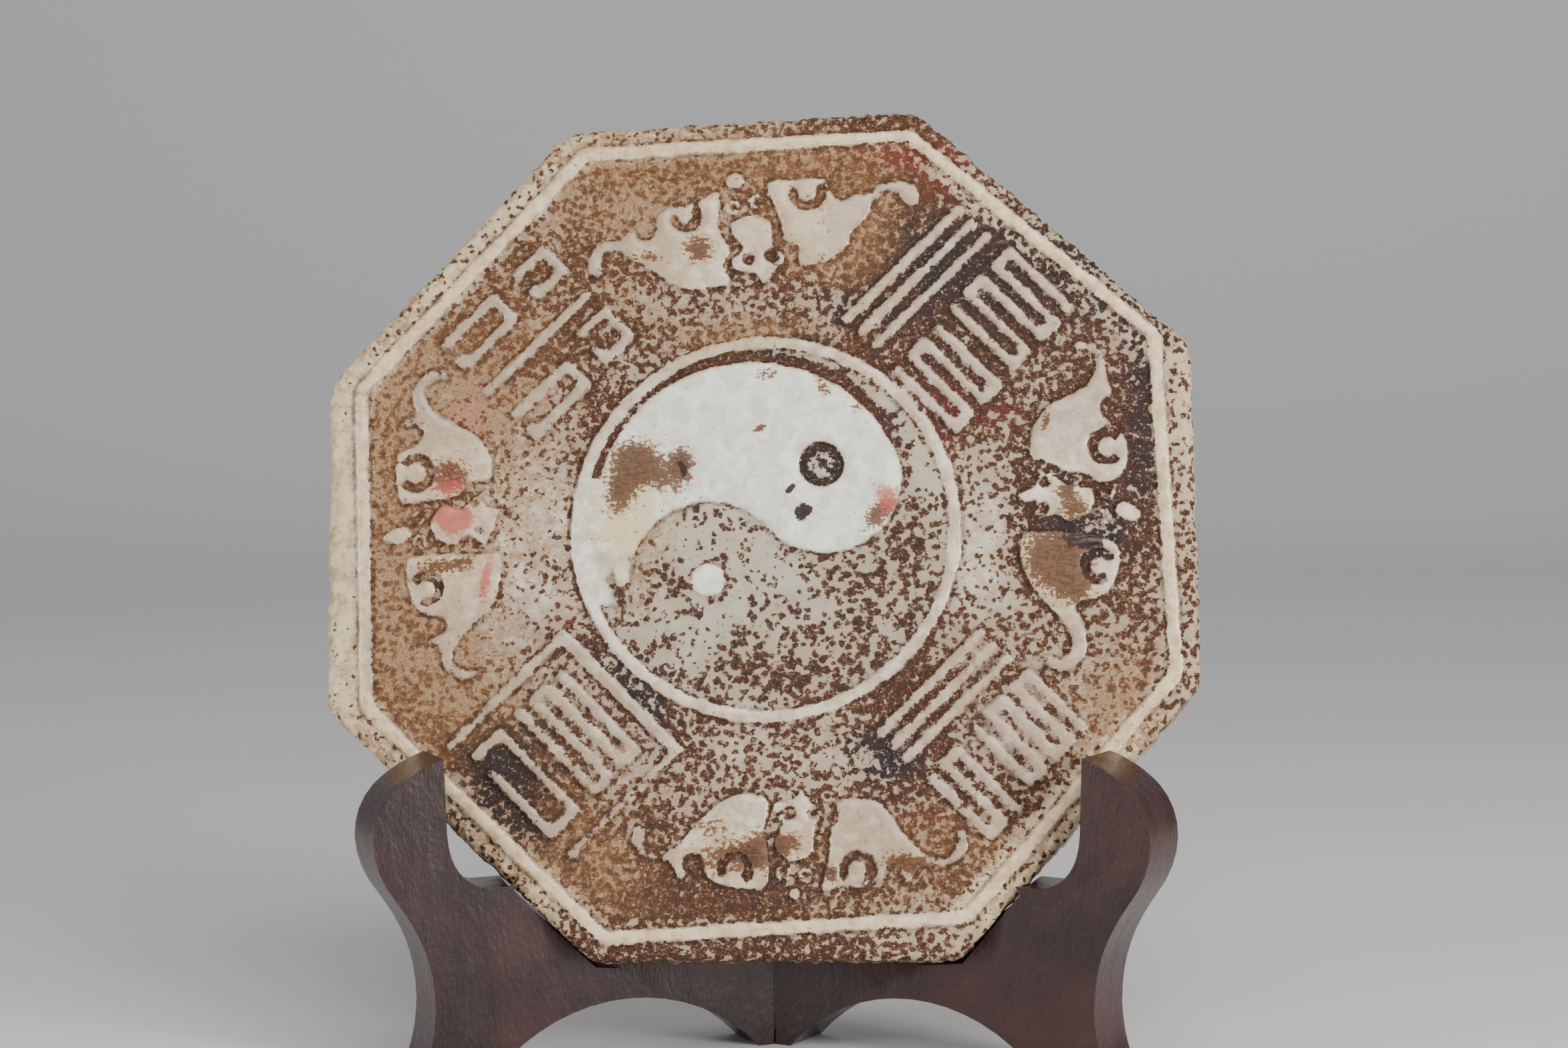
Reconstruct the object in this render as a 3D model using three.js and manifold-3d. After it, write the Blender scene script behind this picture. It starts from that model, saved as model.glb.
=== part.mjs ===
// A carved octagonal jade plaque that leans back on a lacquered wooden stand of two boards.
// Millimetres, +Z up. The plaque faces -Y, and +X is to the viewer's right.
import * as THREE from "three";
import { mergeVertices } from "three/addons/utils/BufferGeometryUtils.js";
import Module from "manifold-3d";

const wasm = await Module();
wasm.setup();

// Driving sizes of the plaque.
const acrossFlats = 200;
const plaqueThickness = 16;
const reliefHeight = 1.1;
const rimRound = 3;
const bandWidth = 3.4;
const yinRise = 0.35;
const eyePitDepth = 0.9;

// Driving sizes of the stand. Distances along a leaf run from the seam, and heights from the floor.
const boardThickness = 14.5;
const leafTurn = THREE.MathUtils.degToRad(27);
const armReach = 97;
const armTipHeight = 72.8;
const armWidth = 17.7;
const notchFloorHeight = 42.7;
const footSetIn = 10;
const footWidth = 18;
const pendantHalfWidth = 4;
const archHeight = 14.3;
const restHeight = 102;

// How the two meet.
const leanBack = THREE.MathUtils.degToRad(15);
const seatDepth = 16.7;
const crossingSetIn = 34.5;
const plaqueOffCentre = -2;
const fitClearance = 0.3;

const armInnerEdge = armReach - armWidth;
const footOuterEdge = armReach - footSetIn;
const footInnerEdge = footOuterEdge - footWidth;
const crossingAlongLeaf = armReach - crossingSetIn;

// The carving was laid out by hand on a face 200 across, and it keeps its shares of the face at any size.
const layoutAcross = 200;
const share = acrossFlats / layoutAcross;
const regularCorner = acrossFlats / 2 / Math.cos(Math.PI / 8);

// The carving's solids reach this far into the plaque's body, and what cuts them this far over their tops.
const carvingFloor = -reliefHeight - 1;
const cutTop = 1;

// Corners of the hand-cut octagons, each an angle in degrees and a share of the regular corner's distance.
const plaqueCorners = [
  [23.4, 1],
  [70.1, 0.975],
  [115.7, 0.975],
  [161, 0.985],
  [202.9, 0.996],
  [249.4, 0.98],
  [295.1, 1.004],
  [340.1, 0.991],
];
const bandCorners = [
  [26.3, 0.952],
  [69.6, 0.93],
  [115, 0.924],
  [160.5, 0.928],
  [204.7, 0.929],
  [250, 0.94],
  [298.2, 0.948],
  [340.6, 0.948],
];

// Solids and booleans.

function solidOf(geometry) {
  const bare = geometry.clone();
  bare.deleteAttribute("normal");
  bare.deleteAttribute("uv");
  const merged = mergeVertices(bare, 1e-4);
  return new wasm.Manifold(
    new wasm.Mesh({
      numProp: 3,
      vertProperties: new Float32Array(merged.attributes.position.array),
      triVerts: new Uint32Array(merged.index.array),
    }),
  );
}

function geometryOf(solid) {
  const mesh = solid.getMesh();
  const geometry = new THREE.BufferGeometry();
  geometry.setAttribute("position", new THREE.BufferAttribute(mesh.vertProperties, 3));
  geometry.setIndex(new THREE.BufferAttribute(mesh.triVerts, 1));
  const flat = geometry.toNonIndexed();
  flat.computeVertexNormals();
  return flat;
}

function union(solids) {
  return solids.reduce((whole, next) => whole.add(next));
}

function prism(shape, bottom, top, curveSegments = 6) {
  const geometry = new THREE.ExtrudeGeometry(shape, {
    depth: top - bottom,
    bevelEnabled: false,
    curveSegments,
  });
  return solidOf(geometry.translate(0, 0, bottom));
}

// Flat shapes. Plaque coordinates are u to the right, v up the face and w out of it, and the polished tops
// of the relief lie at w = 0.

function cornerPoints(corners) {
  return corners.map(([degrees, radiusShare]) => {
    const angle = THREE.MathUtils.degToRad(degrees);
    const radius = radiusShare * regularCorner;
    return new THREE.Vector2(radius * Math.cos(angle), radius * Math.sin(angle));
  });
}

// Moves each side of a convex anticlockwise outline outwards by a distance, or inwards where it is negative.
function offsetOutline(points, distance) {
  const count = points.length;
  const sides = points.map((point, i) => {
    const along = points[(i + 1) % count].clone().sub(point).normalize();
    const outward = new THREE.Vector2(along.y, -along.x);
    return { start: point.clone().addScaledVector(outward, distance), along };
  });
  return sides.map((side, i) => {
    const before = sides[(i + count - 1) % count];
    const gap = side.start.clone().sub(before.start);
    const reach = gap.cross(side.along) / before.along.cross(side.along);
    return before.start.clone().addScaledVector(before.along, reach);
  });
}

function ringShape(outer, inner) {
  const shape = new THREE.Shape(outer);
  shape.holes.push(new THREE.Path([...inner].reverse()));
  return shape;
}

function discShape(disc, grow = 0) {
  const shape = new THREE.Shape();
  shape.absarc(disc.u, disc.v, disc.radius + grow, 0, 2 * Math.PI);
  return shape;
}

function barShape(left, bottom, right, top) {
  return new THREE.Shape([
    new THREE.Vector2(left, bottom),
    new THREE.Vector2(right, bottom),
    new THREE.Vector2(right, top),
    new THREE.Vector2(left, top),
  ]);
}

// The frets, in the layout's own units.

const strokeWidth = 2.8;

// One strip that runs to and fro: a slab with slots cut in turn from its left and its right.
function meanderShape(left, bottom, right, top, runs) {
  const pitch = (top - bottom - strokeWidth) / (runs - 1);
  const rightSide = [];
  const leftSide = [];
  for (let run = 0; run < runs; run += 1) {
    const low = bottom + run * pitch;
    const high = low + strokeWidth;
    const isLast = run === runs - 1;
    rightSide.push(new THREE.Vector2(right, low));
    leftSide.push(new THREE.Vector2(left, low));
    if (isLast) {
      rightSide.push(new THREE.Vector2(right, high));
      leftSide.push(new THREE.Vector2(left, high));
    } else if (run % 2 === 0) {
      leftSide.push(new THREE.Vector2(left, high));
      leftSide.push(new THREE.Vector2(right - strokeWidth, high));
      leftSide.push(new THREE.Vector2(right - strokeWidth, low + pitch));
    } else {
      rightSide.push(new THREE.Vector2(right, high));
      rightSide.push(new THREE.Vector2(left + strokeWidth, high));
      rightSide.push(new THREE.Vector2(left + strokeWidth, low + pitch));
    }
  }
  return new THREE.Shape([...rightSide, ...leftSide.reverse()]);
}

// A square hook: one strip bent round three corners, with its end left open.
function hookShapes(left, bottom, right, top) {
  const mouth = left + 1.8 * strokeWidth;
  return [
    barShape(left, bottom, left + strokeWidth, top),
    barShape(left, top - strokeWidth, right, top),
    barShape(right - strokeWidth, bottom, right, top),
    barShape(mouth, bottom, right, bottom + strokeWidth),
  ];
}

function barShapes(middles, bottom, top) {
  return middles.map((middle) =>
    barShape(middle - strokeWidth / 2, bottom, middle + strokeWidth / 2, top),
  );
}

// The four groups stand square to the diagonals of the face: their first axis runs down to the right and
// their second up to the right.
function fretShapes() {
  const northEast = [
    ...barShapes([-20.4, -15.9, -11.2], 47.7, 87),
    meanderShape(-6.3, 66.6, 16, 88, 5),
    meanderShape(-5.2, 47, 17, 63.5, 4),
  ];
  const southEast = [
    ...barShapes([53.2, 57.4, 61.6], -15, 20),
    meanderShape(66, 1, 86.3, 21, 5),
    meanderShape(67, -14, 88.5, -2.6, 3),
  ];
  const northWest = [
    ...hookShapes(-84, -22.5, -74.4, -4),
    ...hookShapes(-84, 1, -74.4, 12),
    ...barShapes([-67.6], -23, 12),
    ...hookShapes(-60.4, -22, -51, -3),
    ...hookShapes(-63.4, 1.5, -52, 12),
  ];
  const southWest = [
    barShape(-15.4, -87, -12.8, -47.5),
    barShape(-15.4, -51, 23.5, -47.5),
    barShape(22.2, -84, 24.4, -47.5),
    meanderShape(-9.5, -70, 18, -54.3, 4),
    ...hookShapes(-9.5, -84, 18, -73.6),
  ];
  return [...northEast, ...southEast, ...northWest, ...southWest];
}

// The bats, each with its head towards the middle of the face. An outline is a closed smooth curve through
// its points. A groove is an arc that winds round a curl, with its middle, its radius and its two angles.
// Knobs, bumps and eyes each have a middle and a radius.

const curlGroove = 1.7;
const knobHollow = 0.4;
const spanPoints = 3;

const bats = [
  {
    wings: [
      [
        [-13, 78.5], [-16.5, 76.5], [-22, 76], [-24.5, 73.5], [-25, 69.5], [-27.5, 68], [-29.5, 70],
        [-30.5, 74], [-32, 68.5], [-37.5, 68], [-40.5, 64], [-39.5, 59.5], [-37, 59.5], [-37, 64],
        [-34, 65.5], [-27.5, 62], [-19, 56.5], [-12, 56.5], [-7, 58], [-8.5, 62.5], [-7, 65],
        [-10, 71], [-10, 79.5],
      ],
      [
        [1.5, 79.5], [4.5, 72.5], [5.5, 68], [8.5, 66.5], [9, 62], [15, 62.5], [20.5, 66.5],
        [21, 69], [24.5, 73], [27.5, 78.5], [31, 79.5], [33.5, 76], [36.5, 75.5], [36.5, 80],
        [32, 82], [27, 81], [24.5, 79], [22, 79], [19.5, 77.5], [17, 78.5], [14.5, 82.5],
        [8, 82.5], [1, 82],
      ],
    ],
    grooves: [[-17.7, 73.7, 2.7, 170, 405], [10.7, 79.4, 3.3, 165, 385]],
    bodies: [
      [
        [-7, 70], [-4.5, 66], [-7, 63], [-6, 60.5], [-1.5, 60], [0.5, 57], [3, 60], [5.5, 64],
        [3, 66.5], [2.5, 72], [-1.5, 74], [-6.5, 72.5],
      ],
    ],
    knobs: [[-6.7, 75.9, 1.9], [-1.2, 77.1, 2]],
    bumps: [[-6.2, 82.2, 2.3]],
    eyes: [[-2.8, 63.4, 1.2], [2.4, 64.4, 1.3]],
  },
  {
    wings: [
      [
        [65, 15.5], [69.5, 13], [75, 12], [78, 10], [82, 11], [84.5, 15], [83.5, 22], [79, 26],
        [78, 28.5], [81.5, 31], [80, 34.5], [80, 38.5], [77, 43], [72, 43], [72, 40.5], [76, 41],
        [77.5, 38], [75, 33], [66.5, 28.5], [62.5, 23], [62.5, 15.5],
      ],
      [
        [60.5, -1.5], [59.5, -7], [62, -13.5], [69.5, -22.5], [71.5, -27], [69, -30.5],
        [64.5, -29], [66, -32.5], [71.5, -33], [75, -29], [74.5, -23], [72.5, -18], [79, -16],
        [82, -11], [82, -4], [76.5, -2], [67.5, -1],
      ],
    ],
    grooves: [[79.8, 18.6, 3.3, 45, 310], [77.6, -9.1, 3.2, 30, 300]],
    bodies: [
      [
        [59, 7.5], [61, 5.5], [63.5, 6], [63, 3], [66, 2], [68, 2.5], [71, 1], [76, 3.5],
        [76.5, 8.5], [70.5, 10], [67, 12.5], [64.5, 12.5], [63, 9.5],
      ],
      [[81.5, 3], [86, 1], [87.5, 3], [84, 6], [81.5, 5]],
    ],
    knobs: [[79.7, 7.7, 1.9], [79, 2.4, 1.9]],
    bumps: [],
    eyes: [[65.4, 10.3, 1], [65.1, 4.4, 1.1]],
  },
  {
    wings: [
      [
        [2.5, -62.5], [-4, -61], [-10, -64], [-18, -72.5], [-22, -75], [-25.5, -73.5],
        [-25, -69.5], [-26.5, -67.5], [-28.5, -70.5], [-26, -76], [-20, -76.5], [-17.5, -81],
        [-16, -79.5], [-16.5, -76], [-13, -75], [-11, -80.5], [-5.5, -82.5], [2.5, -82.5],
        [2.5, -74], [2, -70],
      ],
      [
        [18.5, -66.5], [16.5, -69], [16.5, -75], [14.5, -83.5], [20, -82], [26, -83],
        [29.5, -80.5], [30, -76.5], [32, -77], [33.5, -81.5], [35.5, -80.5], [36.5, -77.5],
        [42.5, -78], [47.5, -74.5], [47.5, -69.5], [44.5, -69], [45.5, -72], [42.5, -75.5],
        [37.5, -74], [32, -68], [27.5, -62.5], [18, -63],
      ],
    ],
    grooves: [[-4.8, -78.2, 3.1, -45, 205], [22.9, -78.2, 3.3, -60, 215]],
    bodies: [
      [
        [8.5, -62.5], [3.5, -63.5], [5.5, -68], [4, -73], [8, -76.5], [13, -74.5], [13.5, -68],
        [15, -65.5], [12, -63], [10, -60],
      ],
    ],
    knobs: [[6.1, -79.2, 1.9], [11.2, -79.5, 1.9]],
    bumps: [[8.8, -83.7, 1.5]],
    eyes: [[7.3, -65.5, 1.4], [12.6, -65.5, 1.2]],
  },
  {
    wings: [
      [
        [-80, 27], [-84, 25], [-83, 24], [-79.5, 24.5], [-78, 22.5], [-80, 20], [-84, 17.5],
        [-84, 9], [-82.5, 6], [-76, 6.5], [-69, 8], [-67, 11], [-62.5, 11], [-62, 17],
        [-66, 22.5], [-74.5, 27], [-78, 32], [-76, 35], [-71.5, 35.5], [-75, 38], [-80, 35.5],
        [-81, 31],
      ],
      [
        [-62.5, -5.5], [-71.5, -5.5], [-81, -7], [-80.5, -15], [-78, -19.5], [-72, -21],
        [-72, -24], [-78, -26], [-73.5, -27.5], [-72.5, -32], [-67, -35.5], [-62, -33],
        [-64.5, -32.5], [-69.5, -31.5], [-70, -28], [-66, -23], [-61, -18], [-59, -10], [-60, -5],
      ],
    ],
    grooves: [[-79.7, 13.2, 3.5, -140, 140], [-76.5, -13.7, 3.1, -105, 150]],
    bodies: [
      [
        [-75.5, -1], [-71, -4], [-67, -1.5], [-63.5, -3.5], [-61.5, -1], [-60.5, 3], [-57.5, 4.5],
        [-63, 5.5], [-65.5, 8], [-68.5, 5], [-73, 5.5], [-76, 2],
      ],
      [[-84, -3.5], [-80.5, -2], [-80.5, 0], [-84, 0.5], [-87, -2]],
    ],
    knobs: [[-79, 2.6, 1.8], [-78.3, -2.9, 1.8]],
    bumps: [],
    eyes: [[-65.6, 6.1, 0.8], [-64.6, -0.2, 0.8]],
  },
];

function smoothShape(outline) {
  const through = outline.map(([u, v]) => new THREE.Vector3(u, v, 0));
  const curve = new THREE.CatmullRomCurve3(through, true, "centripetal");
  const points = curve.getPoints(spanPoints * through.length).slice(1);
  return new THREE.Shape(points.map((point) => new THREE.Vector2(point.x, point.y)));
}

function grooveShape([u, v, radius, fromDegrees, toDegrees]) {
  const from = THREE.MathUtils.degToRad(fromDegrees);
  const to = THREE.MathUtils.degToRad(toDegrees);
  const shape = new THREE.Shape();
  shape.absarc(u, v, radius + curlGroove / 2, from, to, false);
  shape.absarc(u, v, radius - curlGroove / 2, to, from, true);
  shape.closePath();
  return shape;
}

function batSolid({ wings, grooves, bodies, knobs, bumps, eyes }) {
  const raised = (shape, segments) => prism(shape, carvingFloor, 0, segments);
  const pit = (shape, segments) => prism(shape, -reliefHeight, cutTop, segments);
  const round = ([u, v, radius], size = 1) => discShape({ u, v, radius: radius * size });
  const outlines = [...wings, ...bodies].map((outline) => raised(smoothShape(outline), 1));
  const discs = [...knobs, ...bumps].map((disc) => raised(round(disc), 6));
  const cuts = [
    ...grooves.map((groove) => pit(grooveShape(groove), 8)),
    ...knobs.map((knob) => pit(round(knob, knobHollow), 3)),
    ...eyes.map((eye) => pit(round(eye), 5)),
  ];
  return union([...outlines, ...discs]).subtract(union(cuts));
}

// The ring and the twin-drop disc inside it.

const ringOuter = { u: 1.5, v: 0, radius: 45.2 };
const ringWidth = 3.3;
const yangDisc = { u: -1.7, v: 2.6, radius: 36.6 };
const yangGroove = 2.4;
const grooveUnderYang = 1;
const grooveEnd = 165;
const tailEnd = -18;
const yangHead = inDisc(yangDisc, 27.8, 0.522, 0.484);
const yinHead = inDisc(yangDisc, -123.2, 0.483, 0.492);
const yangEye = inDisc(yangDisc, 37.3, 0.55, 0.137);
const yinDot = inDisc(yangDisc, -124.0, 0.484, 0.112);

// A circle inside a disc, at an angle in degrees, with its distance and its radius as shares of the disc's.
function inDisc(disc, degrees, reach, size) {
  const angle = THREE.MathUtils.degToRad(degrees);
  return {
    u: disc.u + reach * disc.radius * Math.cos(angle),
    v: disc.v + reach * disc.radius * Math.sin(angle),
    radius: size * disc.radius,
  };
}

function towards(from, to) {
  return Math.atan2(to.v - from.v, to.u - from.u);
}

// The light half: round the disc from head to tail, then back along the two heads.
function yangShape() {
  const headMeets = towards(yangDisc, yangHead);
  const tailMeets = towards(yangDisc, yinHead) + 2 * Math.PI;
  const waist = towards(yinHead, yangHead);
  const shape = new THREE.Shape();
  shape.absarc(yangDisc.u, yangDisc.v, yangDisc.radius, headMeets, tailMeets, false);
  shape.absarc(yinHead.u, yinHead.v, yinHead.radius, tailMeets, waist, true);
  shape.absarc(yangHead.u, yangHead.v, yangHead.radius, waist + Math.PI, headMeets + 2 * Math.PI, false);
  shape.closePath();
  return shape;
}

function sliceShape(centre, radius, from, to) {
  const shape = new THREE.Shape();
  shape.moveTo(centre.u, centre.v);
  shape.absarc(centre.u, centre.v, radius, from, to, false);
  shape.closePath();
  return shape;
}

// The light half stands full height. A groove parts its head from the ring, its tail is one with the ring
// and ends blunt, and the dark half lies a little over the ground.
function twinDropSolid() {
  const disc = (round, bottom, top, segments, grow = 0) =>
    prism(discShape(round, grow), bottom, top, segments);
  const below = carvingFloor - 1;
  const past = ringOuter.radius + 10;
  const ring = disc(ringOuter, carvingFloor, 0, 36).subtract(
    disc(ringOuter, below, cutTop, 36, -ringWidth),
  );
  const grooveStart = towards(yangDisc, yangHead);
  const grooved = sliceShape(yangDisc, past, grooveStart, THREE.MathUtils.degToRad(grooveEnd));
  const groove = disc(yangDisc, below, cutTop, 24, yangGroove)
    .subtract(disc(yangDisc, below - 1, cutTop + 1, 24, -grooveUnderYang))
    .intersect(prism(grooved, below, cutTop, 24));
  const yin = disc(ringOuter, carvingFloor, yinRise - reliefHeight, 24, -ringWidth / 2).subtract(groove);
  const underTail = prism(barShape(-past, -past, yinHead.u, tailEnd), below, cutTop);
  const yang = prism(yangShape(), carvingFloor, 0, 18).subtract(underTail);
  const tailTop = yangDisc.v + yangDisc.radius * Math.sin(THREE.MathUtils.degToRad(grooveEnd));
  const tail = disc(ringOuter, carvingFloor, 0, 24, -ringWidth / 2)
    .intersect(prism(barShape(-past, tailEnd, yangDisc.u - yangDisc.radius / 2, tailTop), below, cutTop))
    .subtract(disc(yinHead, below, cutTop, 18));
  const eyePit = disc(yangEye, -eyePitDepth, cutTop, 10);
  return union([yin, yang, tail, disc(yinDot, carvingFloor, 0, 10), ring]).subtract(eyePit);
}

// The whole plaque.

function carvingSolid() {
  const frets = union(fretShapes().map((shape) => prism(shape, carvingFloor, 0))).rotate([0, 0, -45]);
  return union([twinDropSolid(), frets, ...bats.map(batSolid)]).scale([share, share, 1]);
}

function plaqueSolid() {
  const body = new THREE.ExtrudeGeometry(new THREE.Shape(cornerPoints(plaqueCorners)), {
    depth: plaqueThickness - reliefHeight - 2 * rimRound,
    bevelEnabled: true,
    bevelThickness: rimRound,
    bevelSize: rimRound,
    bevelOffset: -rimRound,
    bevelSegments: 2,
  });
  body.translate(0, 0, rimRound - plaqueThickness);
  const bandOuter = cornerPoints(bandCorners);
  const band = prism(ringShape(bandOuter, offsetOutline(bandOuter, -bandWidth)), carvingFloor, 0);
  return union([solidOf(body), band, carvingSolid()]);
}

// The plaque's place on the stand: its lowest edge is a seat's depth under the notch floors, and its face
// crosses the leaves' front faces at the height of those floors.
const lowestEdge = Math.min(...cornerPoints(plaqueCorners).map((corner) => corner.y));
const plaqueHeight = notchFloorHeight - seatDepth - lowestEdge * Math.cos(leanBack);
const plaqueForward =
  (plaqueHeight - notchFloorHeight) * Math.tan(leanBack) - crossingAlongLeaf * Math.sin(leafTurn);
const plaqueTurn = Math.PI / 2 - leanBack;

// The room that the plaque takes in the stand, with the fit's clearance on every side.
function plaqueRoom() {
  const grown = offsetOutline(cornerPoints(plaqueCorners), fitClearance);
  return prism(new THREE.Shape(grown), -plaqueThickness - fitClearance, fitClearance)
    .rotate([THREE.MathUtils.radToDeg(plaqueTurn), 0, 0])
    .translate([plaqueOffCentre, plaqueForward, plaqueHeight]);
}

// The outline of a leaf seen square on, from the seam outwards and from the floor up. Each leg's outside
// and its arm are one long S, and behind the plaque the board climbs to the seam as a tapered rest.
function leafShape() {
  const pastSeam = -boardThickness * Math.tan(leafTurn) - 1;
  const archHalf = (footInnerEdge - pendantHalfWidth) / 2;
  const archRadius = (archHalf ** 2 + archHeight ** 2) / (2 * archHeight);
  const archCentre = [pendantHalfWidth + archHalf, archHeight - archRadius];
  const archStart = Math.atan2(-archCentre[1], -archHalf);
  const waist = footOuterEdge - 4.3;
  const belly = armReach + 1.2;
  const elbow = belly - 7;
  const elbowHeight = armTipHeight - 31.8;
  const shoulder = belly - 6.2;
  const shoulderHeight = armTipHeight - 6.8;
  const notchCorner = armInnerEdge - 9.8;
  const seatFoot = crossingAlongLeaf - 10;
  const restTurn = { along: 15, height: restHeight - 14 };
  const leaf = new THREE.Shape();
  leaf.moveTo(pastSeam, 0);
  leaf.lineTo(pendantHalfWidth, 0);
  leaf.absarc(...archCentre, archRadius, archStart, Math.PI - archStart, true);
  leaf.lineTo(footOuterEdge, 0);
  leaf.quadraticCurveTo(waist + 0.5, 6, waist, 16);
  leaf.bezierCurveTo(waist, 27, elbow - 5, elbowHeight - 7, elbow, elbowHeight);
  leaf.bezierCurveTo(belly, elbowHeight + 8.8, belly, shoulderHeight - 6.2, shoulder, shoulderHeight);
  leaf.quadraticCurveTo(shoulder - 4.8, armTipHeight - 2.3, armInnerEdge + 0.5, armTipHeight);
  leaf.lineTo(armInnerEdge, notchFloorHeight + 12.8);
  leaf.quadraticCurveTo(armInnerEdge - 0.7, notchFloorHeight + 1.5, notchCorner, notchFloorHeight);
  leaf.lineTo(crossingAlongLeaf, notchFloorHeight);
  leaf.lineTo(seatFoot, notchFloorHeight - 10);
  leaf.quadraticCurveTo(seatFoot - 4, notchFloorHeight - 12, seatFoot - 6, notchFloorHeight - 5);
  leaf.bezierCurveTo(
    seatFoot - 12,
    notchFloorHeight + 14,
    restTurn.along + 9,
    restTurn.height - 20,
    restTurn.along,
    restTurn.height,
  );
  leaf.quadraticCurveTo(restTurn.along - 5, restHeight - 2, 0, restHeight);
  leaf.lineTo(pastSeam, restHeight);
  leaf.closePath();
  return leaf;
}

// The right leaf: its board is turned towards the viewer about the seam, mitred there, and cut to carry the
// plaque. Turning the shape up leaves the board's front face at y = 0.
function leafBoard() {
  const board = new THREE.ExtrudeGeometry(leafShape(), {
    depth: boardThickness,
    bevelEnabled: false,
    curveSegments: 8,
  });
  board.rotateX(Math.PI / 2);
  board.translate(0, boardThickness, 0);
  board.rotateZ(-leafTurn);
  const rightOfSeam = new THREE.BoxGeometry(2 * armReach, 2 * armReach, 4 * armTipHeight);
  rightOfSeam.translate(armReach + fitClearance / 2, 0, 0);
  return solidOf(board).intersect(solidOf(rightOfSeam));
}

function part(name, solid, material) {
  const mesh = new THREE.Mesh(geometryOf(solid), material);
  mesh.name = name;
  return mesh;
}

const jade = new THREE.MeshStandardMaterial({ color: 0xb9ab97, roughness: 0.45, metalness: 0 });
const leftLacquer = new THREE.MeshStandardMaterial({ color: 0x35201f, roughness: 0.3, metalness: 0 });
const rightLacquer = leftLacquer.clone();

const plaque = part("jade_plaque", plaqueSolid(), jade);
plaque.rotation.x = plaqueTurn;
plaque.position.set(plaqueOffCentre, plaqueForward, plaqueHeight);

const room = plaqueRoom();
const rightLeaf = part("stand_leaf_right", leafBoard().subtract(room), rightLacquer);
const leftLeaf = part("stand_leaf_left", leafBoard().mirror([1, 0, 0]).subtract(room), leftLacquer);

const ornament = new THREE.Group();
ornament.add(plaque, leftLeaf, rightLeaf);
ornament.updateMatrixWorld(true);

// The origin is under the middle of the whole, on the floor.
const box = new THREE.Box3().setFromObject(ornament);
const middle = box.getCenter(new THREE.Vector3());
ornament.position.set(-middle.x, -middle.y, -box.min.z);

const group = new THREE.Group();
group.add(ornament);

export default group;
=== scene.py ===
import math
from types import SimpleNamespace

import bmesh
import bpy
import numpy as np
from mathutils import Matrix, Vector


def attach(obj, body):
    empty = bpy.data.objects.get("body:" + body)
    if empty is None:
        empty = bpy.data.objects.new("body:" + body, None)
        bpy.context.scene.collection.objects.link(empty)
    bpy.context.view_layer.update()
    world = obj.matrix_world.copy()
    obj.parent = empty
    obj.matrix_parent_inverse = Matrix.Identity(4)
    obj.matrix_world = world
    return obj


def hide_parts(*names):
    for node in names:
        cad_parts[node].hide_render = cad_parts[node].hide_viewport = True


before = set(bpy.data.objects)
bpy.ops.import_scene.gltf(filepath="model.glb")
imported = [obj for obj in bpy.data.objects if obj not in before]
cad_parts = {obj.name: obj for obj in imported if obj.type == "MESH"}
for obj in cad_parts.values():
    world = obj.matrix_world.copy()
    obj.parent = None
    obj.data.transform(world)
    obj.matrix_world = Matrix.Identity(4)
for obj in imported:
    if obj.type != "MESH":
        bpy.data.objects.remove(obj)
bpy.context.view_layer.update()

# Lengths of the carving are millimetres in the plaque's own layout: u right, v up the face, w out of it.
# The polished tops lie at w = 0, and a disc is its middle's u and v and its radius.
MM = 0.001
LEAN = math.radians(15)
ORIGIN = np.array([-0.03, -2.232, 121.892])
AXES = np.array(
    [
        [1, 0, 0],
        [0, math.sin(LEAN), math.cos(LEAN)],
        [0, -math.cos(LEAN), math.sin(LEAN)],
    ]
)
RELIEF = 1.1
YIN_LEVEL = -0.75
BACK = -16.0
CELL = 0.64
LATTICE_SPAN = 206
HALF_WALL = 0.2
RIM_ROUND = 2.6
RIM_WIDTH = 9.5
SEAM = 0.1
FAR = 6.0
YANG = (-1.7, 2.6, 36.6)
EYE = (14.3, 14.8, 5.0)


def to_layout(points):
    return (np.asarray(points, float) / MM - ORIGIN) @ AXES.T


def to_scene(points):
    return (points @ AXES + ORIGIN) * MM


# Smooth random fields.


def field_noise(u, v, size, seed):
    """Smooth random numbers, most of them from 0 to 1, that change over size millimetres."""
    repeat = 97
    angles = np.random.default_rng(seed).random((repeat, repeat)) * 2 * math.pi
    x, y = u / size + 31.7, v / size + 47.3
    i, j = np.floor(x).astype(int), np.floor(y).astype(int)
    f, g = x - i, y - j

    def from_corner(right, above):
        angle = angles[(j + above) % repeat, (i + right) % repeat]
        return np.cos(angle) * (f - right) + np.sin(angle) * (g - above)

    across, upward = smooth(0, 1, f), smooth(0, 1, g)
    low = from_corner(0, 0) * (1 - across) + from_corner(1, 0) * across
    high = from_corner(0, 1) * (1 - across) + from_corner(1, 1) * across
    return 0.5 + 0.9 * (low * (1 - upward) + high * upward)


def rough_noise(u, v, size, seed):
    """Three octaves of field_noise, centred on zero."""
    total = field_noise(u, v, size, seed) - 0.5
    total = total + 0.5 * (field_noise(u, v, size * 0.47, seed + 1) - 0.5)
    return total + 0.25 * (field_noise(u, v, size * 0.23, seed + 2) - 0.5)


def smooth(low, high, value):
    t = np.clip((value - low) / (high - low), 0, 1)
    return t * t * (3 - 2 * t)


# Outlines, read from the CAD plaque.


def cad_plaque():
    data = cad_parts["jade_plaque"].data
    points = to_layout([v.co for v in data.vertices])
    faces = np.array([list(p.vertices) for p in data.polygons if len(p.vertices) == 3])
    return points, faces


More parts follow.
